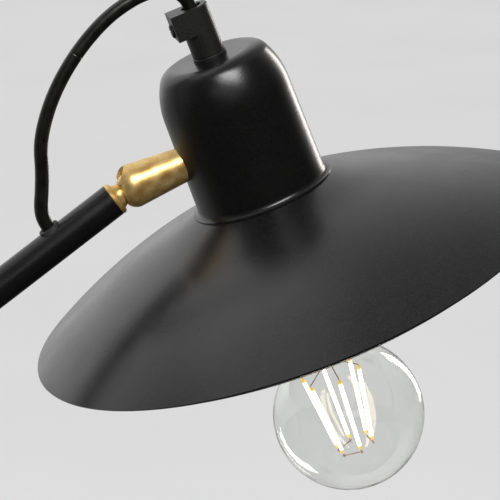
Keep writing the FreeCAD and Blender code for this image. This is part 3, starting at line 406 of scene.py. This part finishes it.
def crown_point(turn, radius, height):
    """A point round the head's axis."""
    around = math.cos(turn) * HEAD_ACROSS + math.sin(turn) * Vector((0, 1, 0))
    return SEAM + radius * around + height * HEAD_UP


def head_piece(name, vertices, faces, material):
    """A smooth mesh that moves with the head."""
    mesh = bpy.data.meshes.new(name)
    mesh.from_pydata(vertices, [], faces)
    mesh.materials.append(material)
    for face in mesh.polygons:
        face.use_smooth = len(face.vertices) == 4
    piece = bpy.data.objects.new(name, mesh)
    bpy.context.scene.collection.objects.link(piece)
    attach(piece, "head")
    return piece


# ---------------------------------------------------------------- filaments

FILAMENT_COUNT = 6
CROWN_TWIST = math.radians(33.5)
# The crown stands a little askew in the globe: its centre, along the head's X and Y.
CROWN_TOP = (-0.0010, 0.0008)
CROWN_FOOT = (-0.0023, 0.0020)
CROWN_TOP_RADIUS = 0.0160
CROWN_FOOT_RADIUS = 0.0099
# Radius of a stick at distances from either end: a pointed bead, then the even coating.
STICK_PROFILE = (
    (0.0, 0.00025), (0.0005, 0.00050), (0.0012, 0.00080), (0.0020, 0.00094),
    (0.0026, 0.00090), (0.0034, 0.00098),
)
STICK_SIDES = 12
HUB_HEIGHT = -0.0996
HUB_RADIUS = 0.0025
WIRE_PROFILE = ((0.0, 0.00026),)
LINK_DROP = 0.0012
CROSS_REACH = 0.0010
POST_DROPS = 1.8
LINKED_FEET = ((5, 0), (1, 2), (3, 4))


def skewed_point(number, centre, radius, height):
    """A point of the crown, whose centre lies a little off the head's axis."""
    turn = CROWN_TWIST + 2 * math.pi * number / FILAMENT_COUNT
    shift = centre[0] * HEAD_ACROSS + centre[1] * Vector((0, 1, 0))
    return crown_point(turn, radius, height) + shift


def stick(vertices, faces, top, foot, profile):
    """Adds one closed stick from its top to its foot to the lists."""
    length = (foot - top).length
    along = (foot - top) / length
    side = along.orthogonal().normalized()
    across = along.cross(side)
    stations = list(profile)
    stations += [(length - place, radius) for place, radius in reversed(profile)]
    first = len(vertices)
    for place, radius in stations:
        for number in range(STICK_SIDES):
            turn = 2 * math.pi * number / STICK_SIDES
            spoke = math.cos(turn) * side + math.sin(turn) * across
            vertices.append(top + place * along + radius * spoke)
    for ring in range(len(stations) - 1):
        for number in range(STICK_SIDES):
            corner = first + ring * STICK_SIDES + number
            beside = first + ring * STICK_SIDES + (number + 1) % STICK_SIDES
            faces.append((corner, beside, beside + STICK_SIDES, corner + STICK_SIDES))
    last = first + (len(stations) - 1) * STICK_SIDES
    faces.append(tuple(first + number for number in reversed(range(STICK_SIDES))))
    faces.append(tuple(last + number for number in range(STICK_SIDES)))


def make_filaments(glow, wire):
    """The sticks, the wires that hold their tops and the links that join their feet."""
    numbers = range(FILAMENT_COUNT)
    tops = [skewed_point(n, CROWN_TOP, CROWN_TOP_RADIUS, FILAMENT_TOP) for n in numbers]
    feet = [skewed_point(n, CROWN_FOOT, CROWN_FOOT_RADIUS, FILAMENT_FOOT) for n in numbers]
    vertices, faces = [], []
    for top, foot in zip(tops, feet):
        stick(vertices, faces, top, foot, STICK_PROFILE)
    sticks = head_piece("filament_sticks", vertices, faces, glow)
    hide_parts("filaments")

    vertices, faces = [], []
    for number, top in zip(numbers, tops):
        hub = skewed_point(number, (0, 0), HUB_RADIUS, HUB_HEIGHT)
        stick(vertices, faces, hub, top, WIRE_PROFILE)
    drop = LINK_DROP * HEAD_UP
    for first, second in LINKED_FEET:
        along = (feet[second] - feet[first]).normalized() * CROSS_REACH
        stick(vertices, faces, feet[first] - drop - along, feet[second] - drop + along, WIRE_PROFILE)
        for foot in (feet[first], feet[second]):
            stick(vertices, faces, foot, foot - POST_DROPS * drop, WIRE_PROFILE)
    wires = head_piece("crown_wires", vertices, faces, wire)
    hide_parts("filament_wires")


# ---------------------------------------------------------------- cord


def smooth_line(name, points):
    """Points along a NURBS spline whose control points are the route's points."""
    curve = bpy.data.curves.new(name, "CURVE")
    curve.dimensions = "3D"
    curve.resolution_u = LINE_STEPS
    spline = curve.splines.new("NURBS")
    spline.points.add(len(points) - 1)
    for control, point in zip(spline.points, points):
        control.co = (*point, 1)
    spline.order_u = 3
    spline.use_endpoint_u = True
    holder = bpy.data.objects.new(name, curve)
    mesh = bpy.data.meshes.new_from_object(holder)
    line = [vertex.co.copy() for vertex in mesh.vertices]
    bpy.data.objects.remove(holder)
    bpy.data.meshes.remove(mesh)
    bpy.data.curves.remove(curve)
    return line


def tube(name, line, radius, material):
    """A closed round tube along a line that lies in the lamp's XZ plane."""
    across = Vector((0, 1, 0))
    vertices = []
    for before, point, after in zip([line[0], *line], line, [*line[1:], line[-1]]):
        normal = (after - before).normalized().cross(across)
        for side in range(TUBE_SIDES):
            turn = 2 * math.pi * side / TUBE_SIDES
            vertices.append(point + radius * (math.cos(turn) * normal + math.sin(turn) * across))
    faces = []
    for ring in range(len(line) - 1):
        for side in range(TUBE_SIDES):
            corner = ring * TUBE_SIDES + side
            beside = ring * TUBE_SIDES + (side + 1) % TUBE_SIDES
            faces.append((corner, corner + TUBE_SIDES, beside + TUBE_SIDES, beside))
    wall_count = len(faces)
    faces.append(tuple(range(TUBE_SIDES)))
    faces.append(tuple(len(vertices) - 1 - side for side in range(TUBE_SIDES)))
    mesh = bpy.data.meshes.new(name)
    mesh.from_pydata(vertices, [], faces)
    mesh.materials.append(material)
    for face in mesh.polygons:
        face.use_smooth = face.index < wall_count
    piece = bpy.data.objects.new(name, mesh)
    bpy.context.scene.collection.objects.link(piece)
    return piece


def cord_length(name, node, points, material):
    """One length of the cord: a round tube along a curved line, with the CAD node it stands in for hidden."""
    line = smooth_line(name, points)
    piece = tube(name, line, CORD_DIAMETER / 2, material)
    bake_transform(piece)
    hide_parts(node)


def make_cord(material):
    route = [SEAM + Vector((x, 0, z)) for x, z in CORD_ROUTE]
    meeting = (route[CORD_MIDDLE] + route[CORD_MIDDLE + 1]) / 2
    arm_side = [*route[:CORD_MIDDLE + 1], meeting]
    head_side = [meeting, *route[CORD_MIDDLE + 1:]]
    cord_length("arm_cord", "cord_arm_side", arm_side, material)
    cord_length("head_cord", "cord_head_side", head_side, material)


# ---------------------------------------------------------------- studio

FLOOR_HALF = 60.0
BRIGHT_SIDE = -150
BRIGHT_RISE = 25


def make_floor():
    finish = Finish("floor", Roughness=0.85)
    finish.colour(finish.colours(finish.noise(0.6), [(0.3, (0.80, 0.80, 0.80)), (0.7, (0.82, 0.82, 0.82))]))
    mesh = bpy.data.meshes.new("floor")
    corners = [(x * FLOOR_HALF, y * FLOOR_HALF, 0) for x, y in ((-1, -1), (1, -1), (1, 1), (-1, 1))]
    mesh.from_pydata(corners, [], [(0, 1, 2, 3)])
    mesh.materials.append(finish.material)
    floor = bpy.data.objects.new("floor", mesh)
    bpy.context.scene.collection.objects.link(floor)
    floor.visible_glossy = False


def make_world():
    """Even pale light, but gloss sees a dim studio that brightens behind the lamp."""
    world = bpy.data.worlds.new("studio")
    world.use_nodes = True
    world.cycles.sampling_method = "NONE"
    tree = world.node_tree
    nodes, links = tree.nodes, tree.links
    even = nodes["Background"]
    even.inputs["Color"].default_value = (0.86, 0.86, 0.86, 1)
    place = nodes.new("ShaderNodeTexCoord")
    behind = nodes.new("ShaderNodeVectorMath")
    behind.operation = "DOT_PRODUCT"
    behind.inputs[1].default_value = toward(BRIGHT_SIDE, BRIGHT_RISE)
    links.new(place.outputs["Generated"], behind.inputs[0])
    ramp = nodes.new("ShaderNodeValToRGB")
    stops = [
        (0.0, 0.015), (0.40, 0.03), (0.52, 0.10), (0.60, 0.22), (0.72, 0.35), (0.82, 0.36),
        (0.86, 0.44), (0.89, 0.62), (0.92, 0.92), (0.94, 1.04),
    ]
    elements = ramp.color_ramp.elements
    while len(elements) < len(stops):
        elements.new(0.5)
    for element, (position, grey) in zip(elements, stops):
        element.position = position
        element.color = (grey, grey, grey, 1)
    shift = nodes.new("ShaderNodeMapRange")
    shift.inputs["From Min"].default_value = -1
    links.new(behind.outputs["Value"], shift.inputs["Value"])
    links.new(shift.outputs["Result"], ramp.inputs["Fac"])
    mirrored = nodes.new("ShaderNodeBackground")
    links.new(ramp.outputs["Color"], mirrored.inputs["Color"])
    path = nodes.new("ShaderNodeLightPath")
    mix = nodes.new("ShaderNodeMixShader")
    links.new(path.outputs["Is Glossy Ray"], mix.inputs["Fac"])
    links.new(even.outputs[0], mix.inputs[1])
    links.new(mirrored.outputs[0], mix.inputs[2])
    links.new(mix.outputs[0], nodes["World Output"].inputs["Surface"])
    bpy.context.scene.world = world


def toward(sideways, rise):
    """The direction so many degrees round from the camera, to the right, and above level."""
    turn = math.radians(sideways)
    lift = math.radians(rise)
    return math.cos(lift) * (math.cos(turn) * NEAR + math.sin(turn) * RIGHT) + math.sin(lift) * VERTICAL


def softbox(name, sideways, rise, distance, size, power, colour=(1, 1, 1)):
    """A rectangular light aimed at the head, its place given in degrees round from the camera."""
    direction = toward(sideways, rise)
    light = bpy.data.lights.new(name, "AREA")
    light.shape = "RECTANGLE"
    light.size, light.size_y = size
    light.energy = power
    light.color = colour
    holder = bpy.data.objects.new(name, light)
    holder.location = SEAM + distance * direction
    holder.rotation_mode = "QUATERNION"
    holder.rotation_quaternion = (-direction).to_track_quat("-Z", "Y")
    bpy.context.scene.collection.objects.link(holder)


def make_lights():
    softbox("key", 11, 46, 1.5, (0.84, 0.5), 21)
    softbox("right_strip", 148, 5, 1.8, (0.35, 1.2), 12, (1.0, 0.95, 0.90))
    softbox("front_panel", 0, 17, 2.2, (1.8, 0.35), 1.4)
    softbox("left_ceiling", -102, 58, 2.0, (1.3, 1.1), 2.6)


# ---------------------------------------------------------------- build

finishes = {make.__name__: make() for make in FINISHES}
dress_nodes(finishes)
soften_edges()
make_filaments(finishes["led_filament"], finishes["support_wire"])
make_cord(finishes["cord_black"])
make_floor()
make_world()
make_lights()
make_camera()
bpy.context.scene.view_settings.view_transform = "Standard"
